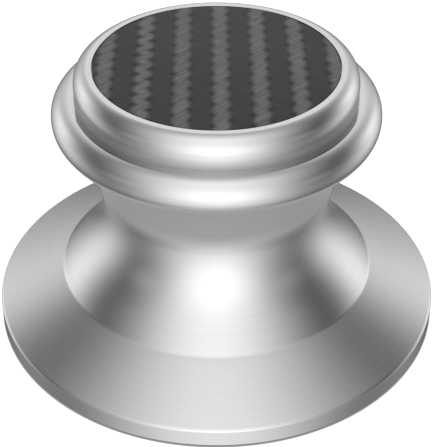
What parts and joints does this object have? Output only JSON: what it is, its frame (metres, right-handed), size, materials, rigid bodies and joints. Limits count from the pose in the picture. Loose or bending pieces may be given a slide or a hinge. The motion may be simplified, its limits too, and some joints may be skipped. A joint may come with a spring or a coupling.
{
  "type": "record weight clamp",
  "caption": "Turned aluminium record weight with a flared base, a waisted neck, stacked rings and a carbon-fibre disc in its top; it drops over a turntable's spindle.",
  "frame": {"origin": "on the turning axis, in the plane of the pad's underside, where the weight rests on a record's label", "axes": "+Z is the turning axis, up from the record; -Y points towards the picture's viewer, +X to the right in the picture"},
  "size_m": [0.0802, 0.0802, 0.0495],
  "materials": {
    "turned_aluminium": "satin, fine turned",
    "carbon_fibre": "twill carbon-fibre cloth under clear resin",
    "pad_rubber": "matte"
  },
  "bodies": {
    "root": {"weight_body": "turned_aluminium", "carbon_inlay": "carbon_fibre", "label_pad": "pad_rubber"}
  },
  "joints": []
}
